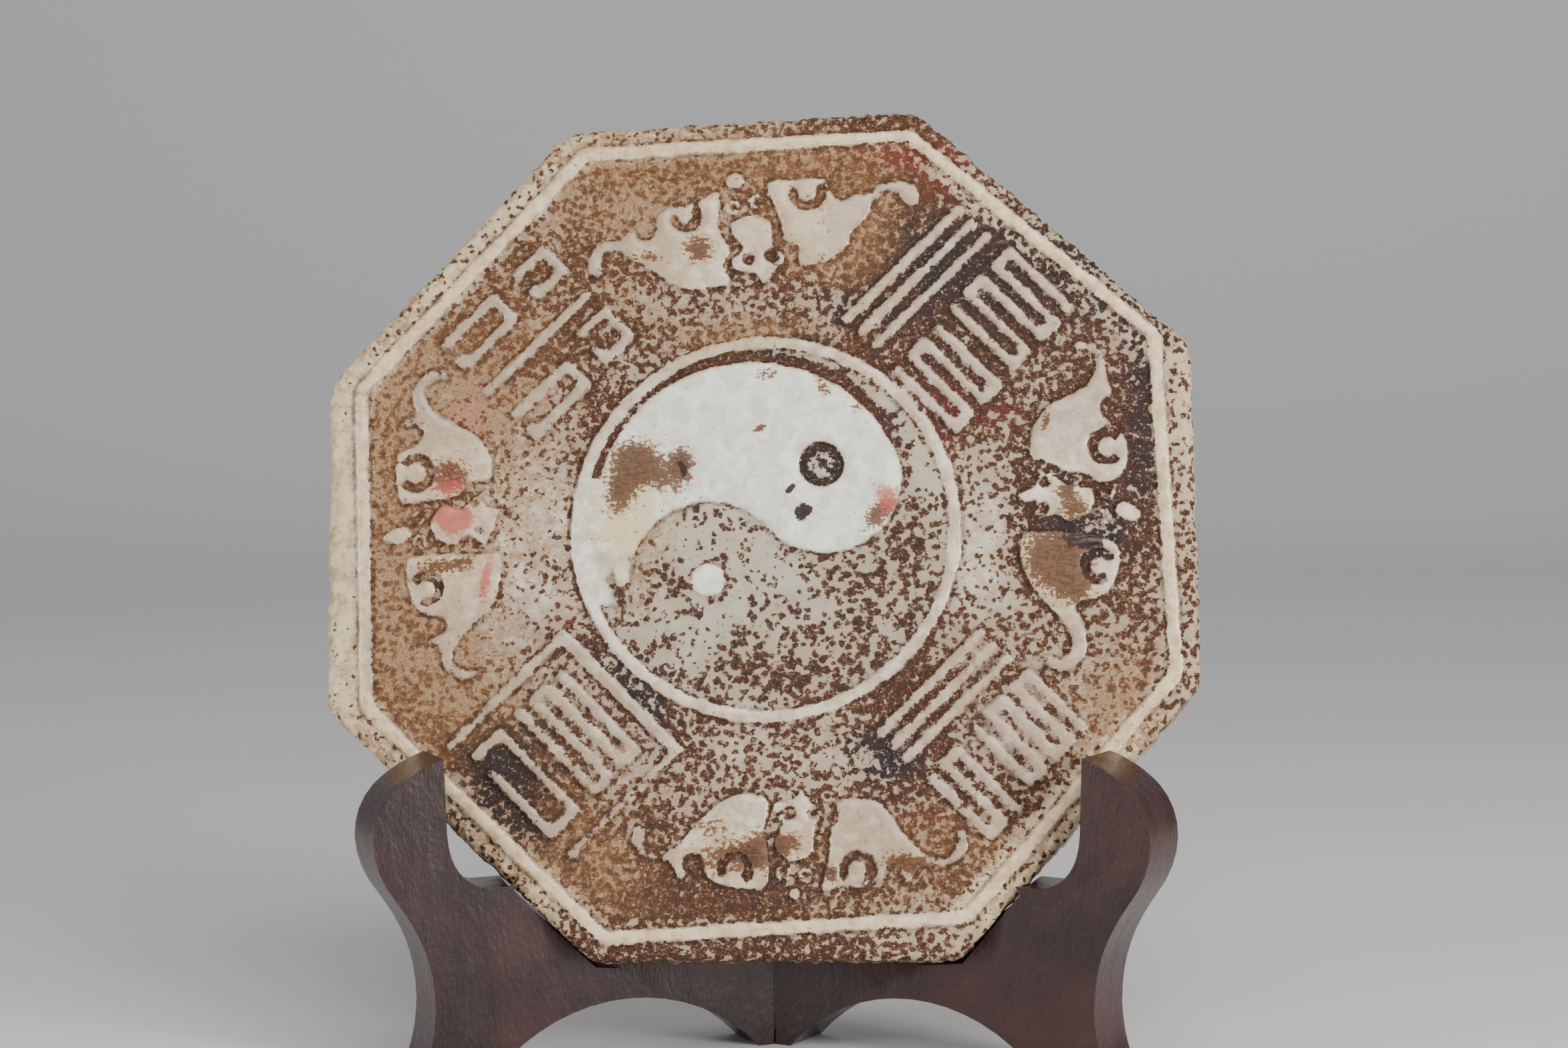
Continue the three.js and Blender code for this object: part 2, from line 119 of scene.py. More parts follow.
def edges_at(points, faces, level):
    """The line pieces round all flats that lie at one level."""
    flat = faces[np.all(np.abs(points[faces][:, :, 2] - level) < 0.03, axis=1)]
    rounded = np.round(points[:, :2] * 500).astype(int)
    count = {}
    for face in flat:
        for a, b in ((0, 1), (1, 2), (2, 0)):
            key = tuple(sorted((tuple(rounded[face[a]]), tuple(rounded[face[b]]))))
            count[key] = count.get(key, 0) + 1
    pieces = [key for key, times in count.items() if times == 1]
    return np.array(pieces, float).reshape(-1, 4) / 500


def signed_distance(u_line, v_line, pieces):
    """Distance to the line pieces on a lattice, positive inside them, and no further than FAR."""
    rows, columns = len(v_line), len(u_line)
    inside = np.zeros((rows, columns), bool)
    a, b = pieces[:, :2], pieces[:, 2:]
    for row, v in enumerate(v_line):
        level = v + 1e-5
        crossing = (a[:, 1] > level) != (b[:, 1] > level)
        p, q = a[crossing], b[crossing]
        cut = np.sort(p[:, 0] + (level - p[:, 1]) * (q[:, 0] - p[:, 0]) / (q[:, 1] - p[:, 1]))
        inside[row] = np.searchsorted(cut, u_line) % 2 == 1
    distance = np.full((rows, columns), FAR)
    low, high = np.minimum(a, b), np.maximum(a, b)
    block = 16
    for r in range(0, rows, block):
        for c in range(0, columns, block):
            us, vs = u_line[c : c + block], v_line[r : r + block]
            near = (
                (high[:, 0] > us[0] - FAR)
                & (low[:, 0] < us[-1] + FAR)
                & (high[:, 1] > vs[0] - FAR)
                & (low[:, 1] < vs[-1] + FAR)
            )
            if not near.any():
                continue
            grid = np.stack(np.meshgrid(us, vs), -1).reshape(-1, 1, 2)
            start, along = a[near], b[near] - a[near]
            share = ((grid - start) * along).sum(-1) / (along**2).sum(-1)
            gap = grid - start - np.clip(share, 0, 1)[..., None] * along
            nearest = np.sqrt((gap**2).sum(-1).min(1)).reshape(len(vs), len(us))
            distance[r : r + block, c : c + block] = np.minimum(nearest, FAR)
    return np.where(inside, distance, -distance)


def worn_corners(u, v, distance):
    """Rounds the corners of the strokes on the diagonals, by spreading the distances to their outlines."""
    spread = distance
    for _ in range(3):
        for axis in (0, 1):
            both_sides = np.roll(spread, 1, axis) + np.roll(spread, -1, axis)
            spread = 0.5 * spread + 0.25 * both_sides
    on_diagonal = smooth(18, 26, np.minimum(np.abs(u), np.abs(v)))
    return distance + (spread - distance) * on_diagonal


def corners_of(points):
    """The corners of the plaque's outline, from its side walls, in order."""
    wall = points[(points[:, 2] > BACK + 2) & (points[:, 2] < -RELIEF - 2.5)]
    found = np.unique(np.round(wall[:, :2], 1), axis=0)
    return found[np.argsort(np.arctan2(found[:, 1], found[:, 0]))]


def outline_distance(u, v, corners):
    """Distance inside the octagon, with worn corners and a rough-hewn edge."""
    after = np.roll(corners, -1, axis=0)
    along = (after - corners) / np.linalg.norm(after - corners, axis=1)[:, None]
    worn = 0.9
    total = 0.0
    for (cu, cv), (au, av) in zip(corners, along):
        side = au * (v - cv) - av * (u - cu)
        total = total + np.exp(-side / worn)
    wobble = 0.22 + rough_noise(u, v, 9, 11) * 0.5 + rough_noise(u, v, 2.3, 17) * 0.55
    return -worn * np.log(total) - np.maximum(wobble, 0)


# Where the dirt, stains and tints lie: u, v, two radii, turn in degrees, strength. First the shares of
# pitted ground and what areas add to them or take away: on the fields, on the rim and in the dark half.

PIT_BASE = 0.46
RIM_PIT_BASE = 0.24
YIN_PIT_BASE = 0.31
PIT_AREAS = [
    (44, 56, 16, 14, 0, 0.15),
    (54, -4, 7, 12, 0, -0.14),
    (-80, -14, 9, 18, 0, -0.16),
    (-62, -38, 14, 10, 0, -0.16),
    (80, -42, 9, 16, 0, -0.28),
    (-34, 50, 20, 11, 25, 0.12),
    (-38, 26, 7, 14, 20, 0.2),
    (-78, 36, 8, 10, 0, -0.38),
    (-30, 78, 14, 7, 0, -0.2),
    (30, 80, 10, 6, 0, -0.12),
    (50, 60, 14, 12, 40, 0.3),
    (40, 26, 8, 8, 0, 0.22),
    (66, -5, 8, 10, 0, 0.6),
    (66, -34, 14, 9, 0, 0.05),
    (42, -42, 10, 8, 0, 0.15),
    (-30, -80, 12, 7, 0, -0.16),
    (42, -78, 8, 6, 0, 0.15),
    (-30, -54, 7, 7, 0, -0.35),
    (54, -48, 8, 11, 0, -0.4),
    (-66, -30, 8, 7, 0, -0.15),
    (-18, -46, 8, 5, 0, 0.15),
    (-52, 6, 14, 24, 0, -0.27),
    (-30, -22, 18, 10, -30, -0.1),
    (48, -6, 9, 22, 10, -0.2),
    (62, 36, 16, 26, 40, 0.16),
    (88, 20, 5, 30, 0, 0.25),
    (85, -15, 6, 25, 0, 0.1),
    (-14, -86, 20, 8, 0, 0.6),
    (-24, -70, 14, 12, 0, 0.12),
    (30, -52, 9, 9, 0, 0.22),
    (44, -44, 14, 14, 0, 0.12),
    (-62, 48, 16, 10, 45, 0.12),
    (-20, 84, 30, 4, 0, 0.2),
    (40, 82, 22, 5, 0, 0.3),
    (28, 60, 12, 10, 0, 0.2),
    (-8, 50, 24, 6, 0, -0.06),
    (-62, -52, 10, 14, 40, 0.3),
    (-55, -62, 12, 8, -40, 0.25),
    (-80, 22, 6, 16, 0, 0.1),
    (-80, -30, 8, 12, 0, 0.1),
    (4, -50, 14, 5, 0, -0.1),
    (62, -62, 14, 10, 45, 0.1),
    (-54, 30, 8, 8, 0, -0.12),
    (18, -54, 7, 6, 0, -0.1),
    (6, 54, 6, 6, 0, 0.25),
]
RIM_AREAS = [
    (74, 64, 12, 26, 45, 0.3),
    (-8, -98, 50, 9, 0, 0.5),
    (-70, -68, 12, 20, -45, 0.15),
    (96, -24, 8, 34, 0, 0.25),
    (30, 94, 28, 7, 0, 0.5),
    (-97, 5, 6, 40, 0, -0.3),
]
YIN_AREAS = [
    (-18, 2, 18, 9, 0, -0.08),
    (-22, -12, 12, 12, 0, -0.07),
    (6, -8, 14, 8, 0, -0.04),
    (28, -8, 8, 12, 0, 0.1),
    (4, -33, 26, 8, 0, 0.14),
    (26, -28, 12, 10, 0, 0.16),
    (35, -3, 6, 12, 0, 0.12),
]

# Tints of the ground: blackened, reddened and rubbed golden brown.
DARK_AREAS = [
    (14.3, 14.8, 6, 6, 0, 0.8),
    (40, 60, 14, 12, 0, 0.4),
    (76, 62, 10, 26, 45, 0.6),
    (60, 44, 20, 24, 40, 0.3),
    (88, 24, 5, 22, 0, 0.5),
    (28, -53, 9, 7, 0, 0.9),
    (18, 52, 9, 5, 0, 0.6),
    (-28, -38, 12, 4, -42, 0.9),
    (-58, -55, 12, 9, 40, 0.8),
    (-52, -68, 10, 6, -40, 0.6),
    (70, 2, 14, 14, 0, 0.5),
    (5, -82, 40, 5, 0, 0.35),
    (76, -2, 5, 4, 0, 1),
    (-72, -14, 5, 5, 0, 0.9),
    (8, 42, 8, 3, 0, 0.8),
    (45, 66, 14, 8, -40, 0.35),
    (-24, 90, 10, 3, 0, 0.7),
]
RED_AREAS = [
    (-71, 2, 6, 5, 0, 0.9),
    (-68, 27, 6, 6, 0, 0.9),
    (-50, 30, 8, 6, 0, 0.35),
    (-44, 6, 5, 5, 0, 0.5),
    (42, 30, 6, 8, 0, 0.6),
    (56, 26, 8, 6, 0, 0.5),
    (44, 16, 5, 6, 0, 0.4),
    (52, -12, 6, 8, 0, 0.4),
    (30, 88, 16, 5, 0, 0.5),
    (44, 80, 8, 5, 0, 0.5),
    (40, -66, 10, 6, 0, 0.45),
    (22, -60, 8, 5, 0, 0.3),
    (8, -36, 14, 4, 0, 0.35),
    (-44, -22, 5, 4, 0, 0.5),
    (-38, -34, 6, 3, 40, 0.4),
    (-58, 42, 8, 5, 45, 0.3),
    (27, 8, 3.5, 2.5, 0, 0.8),
    (40, 88, 10, 3, 0, 0.4),
]
TAN_AREAS = [
    (16, 72, 12, 9, 0, 0.8),
    (1, 43, 20, 4, 0, 0.5),
    (0, 92, 60, 5, 0, 0.5),
    (-30, 0, 9, 16, 0, 0.8),
    (-60, 30, 14, 20, 0, 0.3),
    (-84, 10, 5, 34, 0, 0.8),
    (-70, 40, 10, 8, 45, 0.5),
    (-76, -34, 9, 14, -20, 0.7),
    (-66, -46, 8, 8, 0, 0.5),
    (-10, 86, 26, 4, 0, 0.7),
    (-30, 76, 14, 8, 0, 0.4),
    (0, 47, 16, 4, 0, 0.5),
    (20, 62, 10, 8, 0, 0.35),
    (66, -40, 14, 10, 0, 0.35),
    (36, -72, 22, 10, 0, 0.5),
    (-44, -74, 16, 7, -30, 0.6),
    (-40, -52, 16, 16, 0, 0.25),
    (45, -30, 10, 10, 0, 0.25),
    (84, -44, 8, 12, 0, 0.5),
]

# Stains brushed over the raised flats: brown, black and pink.
STAINS = [
    (-28.3, 16, 5, 4.2, -10, 1.1),
    (-32, 8.3, 3.2, 4.6, -10, 0.95),
    (-22, 11.2, 5.5, 3, -20, 0.6),
    (-17.8, 15.2, 2.3, 3.2, 10, 1.1),
    (1.5, 36, 2.6, 1.3, 0, 0.7),
    (14.6, 33, 1.5, 3.2, 20, 0.65),
    (23, 28.5, 1.8, 1.8, 0, 0.6),
    (0.2, 23.3, 1.6, 0.6, 20, 1),
    (28.3, 3.8, 4.6, 2.4, 42, 1),
    (-14.5, 66, 3.2, 3.2, 0, 0.95),
    (-26, 64, 3.4, 1.4, -15, 0.7),
    (14, 62, 0.8, 3, -10, 0.7),
    (-71.4, 12, 4.5, 4, 0, 1),
    (-74, -8.7, 4.8, 2, 0, 0.8),
    (-67.3, -7.6, 2.6, 1.6, 0, 0.7),
    (67.5, -7.2, 6.2, 6.6, 10, 1.25),
    (72, -12.5, 3.2, 5, 10, 0.9),
    (65.8, 24.4, 0.9, 2.2, -15, 0.9),
    (70.2, 8.4, 2.4, 1.7, 0, 1),
    (72.6, 4.4, 3, 2, 0, 0.9),
    (-4.3, -75.2, 8, 3.4, 5, 0.95),
    (-10.5, -68.4, 4, 2, 0, 0.6),
    (2, -73, 3, 4, 0, 0.7),
    (17, -79, 1.4, 1.8, 0, 1),
    (35, -77, 5.5, 2.2, -10, 1.05),
    (7.6, -72.2, 2.8, 2, 0, 0.75),
]
DARK_STAINS = [
    (7.2, 9, 1.3, 0.6, 40, 1.3),
    (10.1, 3.7, 1.9, 1.5, 30, 1.3),
    (-17.6, 14, 1, 2.6, 20, 0.8),
    (74.3, -3.1, 4.4, 1.9, -5, 1.2),
    (3, 63.4, 1.5, 1.5, 0, 1),
]
RED_STAINS = [
    (28.7, 8, 2.3, 1.8, 0, 1),
    (-71, 3.2, 4.2, 2.2, 0, 1.2),
    (-70, 0.5, 3.6, 2.4, 30, 0.75),
    (-71.5, 10, 3.6, 3, 0, 0.7),
    (-62.8, -12, 1.1, 4.6, -8, 1.1),
    (30, 4.6, 3.6, 2, 42, 0.6),
    (17, 43.3, 4, 0.8, -12, 0.8),
]


def spots(u, v, areas):
    """The sum of soft round or oval areas."""
    total = np.zeros_like(u)
    for cu, cv, ru, rv, turn, strength in areas:
        c, s = math.cos(math.radians(turn)), math.sin(math.radians(turn))
        x, y = (u - cu) * c + (v - cv) * s, (v - cv) * c - (u - cu) * s
        total += strength * np.exp(-((x / ru) ** 2 + (y / rv) ** 2) * 0.7)
    return total


def round_mean(loop_values, reach):
    """Each value of a closed loop, averaged with its neighbours on both sides."""
    shifted = [np.roll(loop_values, step, axis=0) for step in range(-reach, reach + 1)]
    return np.mean(shifted, axis=0)


def store(mesh, name, values, kind="FLOAT"):
    attribute = mesh.attributes.new(name, kind, "POINT")
    key = "value" if kind == "FLOAT" else "vector"
    attribute.data.foreach_set(key, np.ascontiguousarray(values, np.float32).ravel())


# The plaque's mesh: its face is a lattice that follows the outlines, and rings of points close it behind.


def lattice_on_outlines(points, faces, corners):
    """The face's lattice. Points near an outline move onto it, which keeps walls thin and the rim clean."""
    count = int(math.ceil(LATTICE_SPAN / CELL))
    line = (np.arange(count) - (count - 1) / 2) * CELL
    u, v = np.meshgrid(line, line)
    hand = rough_noise(u, v, 7, 3) * 0.35 + rough_noise(u, v, 1.9, 5) * 0.3
    top = worn_corners(u, v, signed_distance(line, line, edges_at(points, faces, 0.0))) + hand
    low_flat = signed_distance(line, line, edges_at(points, faces, YIN_LEVEL))
    rim = outline_distance(u, v, corners)
    gap = 1e-3
    rim_u = (outline_distance(u + gap, v, corners) - rim) / gap
    rim_v = (outline_distance(u, v + gap, corners) - rim) / gap
    top_v, top_u = np.gradient(top, CELL)
    on_rim = np.abs(rim) < CELL / 2
    steep = np.maximum(rim_u**2 + rim_v**2, 0.3)
    pu = np.where(on_rim, u - rim * rim_u / steep, u)
    pv = np.where(on_rim, v - rim * rim_v / steep, v)
    on_wall = (np.abs(top) < 0.75 * CELL) & (rim > CELL)
    goal = np.where(top >= 0, HALF_WALL, -HALF_WALL)
    slope = np.maximum(top_u**2 + top_v**2, 0.4)
    step = np.clip(goal - top, -CELL * 0.55, CELL * 0.55)
    pu = np.where(on_wall, pu + step * top_u / slope, pu)
    pv = np.where(on_wall, pv + step * top_v / slope, pv)
    top = np.where(on_wall, goal, top)
    from_yang = np.hypot(pu - YANG[0], pv - YANG[1])
    outward = -np.stack([rim_u, rim_v], -1)
    return SimpleNamespace(
        u=pu, v=pv, top=top, low_flat=low_flat, rim=rim, outward=outward, from_yang=from_yang
    )


def pits_of(face):
    """Each point's rank among the pits, from 0 to 1, and the share of the ground there that is pitted."""
    pit = 0.62 * field_noise(face.u, face.v, 1.5, 21) + 0.38 * field_noise(face.u, face.v, 0.85, 23)
    pit = np.argsort(np.argsort(pit.ravel())).reshape(pit.shape) / pit.size
    uneven = 0.6 + 1.6 * np.maximum(rough_noise(face.u, face.v, 4, 29), -0.3)
    near_wall = np.exp(-np.maximum(-face.top, 0) / 0.9) * uneven
    share = PIT_BASE + spots(face.u, face.v, PIT_AREAS)
    yin_share = YIN_PIT_BASE + spots(face.u, face.v, YIN_AREAS)
    share = np.where(face.low_flat > 0, yin_share, share)
    share = share + np.where(face.low_flat > 0, 0.1, 0.32) * near_wall
    past_yang = face.from_yang - YANG[2]
    groove = smooth(-0.6, 0.4, past_yang) * smooth(2.8, 1.8, past_yang)
    share += 0.45 * groove * smooth(-4, 20, face.v) * smooth(38, 26, face.u)
    share += rough_noise(face.u, face.v, 13, 31) * 0.3
    eye = np.hypot(face.u - EYE[0], face.v - EYE[1]) + rough_noise(face.u, face.v, 1.4, 37) * 0.8
    star = 0.28 + 0.67 * smooth(2.8, 3.6, eye) + 0.67 * smooth(1.2, 0.7, eye)
    return pit, np.clip(np.where(eye < EYE[2] + 1, star, share), 0.03, 0.95)


def heights_of(face):
    """How high the face stands at each point."""
    in_yin = smooth(-0.4, 0.4, face.low_flat)
    bare = 1 - face.share
    deep = smooth(bare - 0.12, bare + 0.12, face.pit)
    ground = -RELIEF + (RELIEF + YIN_LEVEL) * in_yin
    ground = ground + rough_noise(face.u, face.v, 10, 41) * 0.12
    ground = ground - 0.3 * deep * np.where(face.low_flat > 0, 0.5, 1)
    ground += 0.22 * np.exp(-np.maximum(-face.top - HALF_WALL, 0) / 0.5)
    shoulder = 0.46 * np.exp(-np.maximum(face.top - HALF_WALL, 0) / 0.8)
    crown = -shoulder + rough_noise(face.u, face.v, 9, 51) * 0.07 - 0.04
    height = np.where(face.top > 0, crown, np.minimum(ground, crown - 0.1))
    inner = np.clip(RIM_ROUND - face.rim, 0, RIM_ROUND)
    edge_drop = RIM_ROUND - np.sqrt(np.maximum(RIM_ROUND**2 - inner**2, 0))
    bites = rough_noise(face.u, face.v, 5, 61) + rough_noise(face.u, face.v, 2.1, 67)
    chips = np.maximum(bites, 0.12) - 0.12
    height = height - edge_drop - 1.4 * chips * np.exp(-np.maximum(face.rim, 0) / 3.2)
    return np.minimum(height, -0.02)


def lattice_faces(keep):
    """Quads between the kept lattice points, and triangles where one corner is missing."""
    index = -np.ones(keep.shape, int)
    index[keep] = np.arange(keep.sum())
    low_left, low_right = index[:-1, :-1].ravel(), index[:-1, 1:].ravel()
    high_right, high_left = index[1:, 1:].ravel(), index[1:, :-1].ravel()
    quads = np.stack([low_left, low_right, high_right, high_left], 1)
    missing = (quads < 0).sum(1)
    face_list = quads[missing == 0].tolist()
    for row in quads[missing == 1]:
        face_list.append([int(i) for i in row if i >= 0])
    return face_list


def open_edge(face_list):
    """The loop of points round the edge of a sheet of faces, in order."""
    sides = {}
    for face in face_list:
        for i, start in enumerate(face):
            end = face[(i + 1) % len(face)]
            if (end, start) in sides:
                del sides[(end, start)]
            else:
                sides[(start, end)] = True
    following = {start: end for start, end in sides}
    loop = [next(iter(following))]
    while following[loop[-1]] != loop[0]:
        loop.append(following[loop[-1]])
    return np.array(loop)


def rings_behind(ring, outward, along):
    """Loops of points down the rough side wall, round the back edge and in to the middle of the back."""
    profile = [(0, -5.4), (0, -6.8), (0, -8.2), (0, -9.6), (0, -11), (0, -12.4)]
    profile += [(0.25, -13.9), (0.9, -15.1), (2, -15.8), (3.2, BACK + 0.02)]
    rings = []
    for inset, w in profile:
        rough = np.clip(0.25 + rough_noise(along, np.full_like(along, w * 1.3), 4.5, 71), 0, 1)
        shift = inset + 0.55 * rough
        flat = round_mean(ring[:, :2] - outward * shift[:, None], round(3 * inset))
        rings.append(np.column_stack([flat, np.full(len(ring), w)]))
    middle = rings[-1].mean(0)
    return rings + [middle + (rings[-1] - middle) * shrink for shrink in (0.8, 0.6, 0.4, 0.2, 0.05)]


def closed_behind(face_list, loop, first, rings):
    """Adds bands of quads from the loop through the rings, whose points follow first, and the last cap."""
    previous = loop
    for ring in rings:
        current = np.arange(first, first + len(ring))
        first += len(ring)
        band = [np.roll(previous, -1), previous, current, np.roll(current, -1)]
        face_list += np.stack(band, 1).tolist()
        previous = current
    face_list.append(previous[::-1].tolist())


def store_surface(mesh, face, keep, every, along, rings):
    """Stores what the material reads at each point."""
    behind = every[keep.sum() :]
    eu, ev = every[:, 0], every[:, 1]

    def both(values, outside):
        return np.concatenate([values[keep], np.full(len(behind), outside)])

    # Where the light half's tail fades into the dark half.
    fade = smooth(-2, -14, face.v + rough_noise(face.u, face.v, 5, 91) * 14) * smooth(-21, -25, face.u)
    fade = fade * smooth(2, -0.5, face.from_yang - YANG[2]) * (face.top > 0)
    store(mesh, "edge", both(face.top * (1 - fade) - 0.05 * fade, -FAR))

    from_rim = both(face.rim, 0.0)
    outer_rim = smooth(-1, 1, RIM_WIDTH - from_rim)
    side = 0.6 * smooth(10, 8, from_rim) + 0.4 * smooth(3.2, 0.6, from_rim)
    wall_pit = field_noise(np.tile(along, len(rings)), behind[:, 2], 1.6, 81)
    wall_pit = np.where(behind[:, 2] < BACK + 0.1, 0.5, wall_pit)
    store(mesh, "pit", np.concatenate([face.pit[keep], wall_pit]))
    rim_share = RIM_PIT_BASE + spots(eu, ev, RIM_AREAS)
    store(mesh, "share", both(face.share, 0.2) * (1 - outer_rim) + rim_share * outer_rim)

    yang = smooth(0, -1, face.from_yang - YANG[2])
    tail = smooth(-20, -32, face.u) * smooth(26, 10, face.v) * smooth(-34, -20, face.v)
    tail = tail * smooth(-0.6, 1, face.top) * (face.from_yang < YANG[2] + 9)
    yang = smooth(0, 1, face.top) * np.maximum(yang, 0.8 * tail) * (1 - fade)
    yin = np.maximum(smooth(-0.4, 0.4, face.low_flat), fade)
    store(mesh, "place", np.stack([both(yang, 0), side, both(yin, 0)], 1), "FLOAT_VECTOR")

    warm = 0.05 + 0.5 * smooth(40, 90, np.hypot(eu, ev) - 0.25 * eu + 0.12 * ev)
    warm = warm * (1 - 0.6 * outer_rim)
    tint = [spots(eu, ev, RED_AREAS), spots(eu, ev, DARK_AREAS), warm + spots(eu, ev, TAN_AREAS)]
    store(mesh, "tint", np.stack(tint, 1), "FLOAT_VECTOR")
    stain = [spots(eu, ev, areas) for areas in (STAINS, DARK_STAINS, RED_STAINS)]
    store(mesh, "stain", np.stack(stain, 1), "FLOAT_VECTOR")
    on_diagonal = smooth(14, 24, np.minimum(np.abs(eu), np.abs(ev))) * smooth(44, 49, np.hypot(eu, ev))
    store(mesh, "fret", on_diagonal * (1 - outer_rim))
    store(mesh, "layout", every, "FLOAT_VECTOR")


def build_plaque():
    """The plaque as one closed mesh, with what its material reads."""
    points, faces = cad_plaque()
    face = lattice_on_outlines(points, faces, corners_of(points))
    face.pit, face.share = pits_of(face)
    keep = face.rim > -CELL / 2
    face_list = lattice_faces(keep)
    co = np.stack([face.u[keep], face.v[keep], heights_of(face)[keep]], 1)

    loop = open_edge(face_list)
    ring = co[loop]
    outward = round_mean(face.outward[keep][loop], 7)
    outward /= np.linalg.norm(outward, axis=1)[:, None]
    along = np.concatenate([[0], np.cumsum(np.linalg.norm(np.diff(ring[:, :2], axis=0), axis=1))])
    rings = rings_behind(ring, outward, along)
    closed_behind(face_list, loop, len(co), rings)
    every = np.concatenate([co, *rings])

    mesh = bpy.data.meshes.new("plaque_carved")
    mesh.from_pydata(to_scene(every).tolist(), [], face_list)
    mesh.polygons.foreach_set("use_smooth", np.ones(len(mesh.polygons), bool))
    mesh.polygons[-1].use_smooth = False
    mesh.set_sharp_from_angle(angle=math.radians(40))
    store_surface(mesh, face, keep, every, along, rings)
    plaque = bpy.data.objects.new("plaque_carved", mesh)
    bpy.context.scene.collection.objects.link(plaque)
    return plaque


# Materials.


class Shader:
    """A material whose node tree is written as sums, products and mixes of fields."""

    def __init__(self, name):
        self.material = bpy.data.materials.new(name)
        self.material.use_nodes = True
        self.tree = self.material.node_tree
        self.surface = self.tree.nodes["Principled BSDF"]

    def put(self, socket, value):
        if isinstance(value, bpy.types.NodeSocket):
            self.tree.links.new(value, socket)
        elif isinstance(value, (tuple, list)) and len(value) == 3 and socket.type == "RGBA":
            socket.default_value = (*value, 1)
        else:
            socket.default_value = value

    def node(self, kind, inputs, **settings):
        node = self.tree.nodes.new(kind)
        for key, value in settings.items():
            setattr(node, key, value)
        for key, value in inputs.items():
            self.put(node.inputs[key], value)
        return node

    def math(self, operation, a, b):
        return self.node("ShaderNodeMath", {0: a, 1: b}, operation=operation).outputs[0]

    def add(self, a, b):
        return self.math("ADD", a, b)

    def times(self, a, b):
        return self.math("MULTIPLY", a, b)

    def off(self, field):
        """A field from 0 to 1, centred on zero."""
        return self.math("SUBTRACT", field, 0.5)

    def span(self, value, low, high, to_low=0.0, to_high=1.0, kind="SMOOTHSTEP"):
        inputs = {"Value": value, "From Min": low, "From Max": high, "To Min": to_low, "To Max": to_high}
        return self.node("ShaderNodeMapRange", inputs, interpolation_type=kind).outputs[0]

    def mix(self, share, a, b):
        node = self.node("ShaderNodeMix", {}, data_type="RGBA")
        self.put(node.inputs[0], share)
        self.put(node.inputs[6], a)
        self.put(node.inputs[7], b)
        return node.outputs[2]

    def noise(self, vector, scale, detail=2.0, rough=0.5, distort=0.0):
        inputs = {"Vector": vector, "Scale": scale, "Detail": detail}
        inputs |= {"Roughness": rough, "Distortion": distort}
        return self.node("ShaderNodeTexNoise", inputs).outputs[0]

    def dots(self, vector, scale):
        """Spots of random size, whose values are spread evenly from 0 to 1."""
        inputs = {"Vector": vector, "Scale": scale}
        cell = self.node("ShaderNodeTexVoronoi", inputs, voronoi_dimensions="3D").outputs["Distance"]
        return self.math("POWER", math.exp(-4 * math.pi / 3), self.math("POWER", cell, 3.0))

    def read(self, name, output="Fac"):
        return self.node("ShaderNodeAttribute", {}, attribute_name=name).outputs[output]

    def read_three(self, name):
        vector = self.read(name, "Vector")
        return self.node("ShaderNodeSeparateXYZ", {"Vector": vector}).outputs

    def stretch(self, vector, x, y, z, turn=0.0):
        inputs = {"Vector": vector, "Scale": (x, y, z), "Rotation": (0, 0, turn)}
        return self.node("ShaderNodeMapping", inputs).outputs[0]

    def bump(self, height, distance, strength):
        inputs = {"Height": height, "Distance": distance, "Strength": strength}
        return self.node("ShaderNodeBump", inputs).outputs[0]


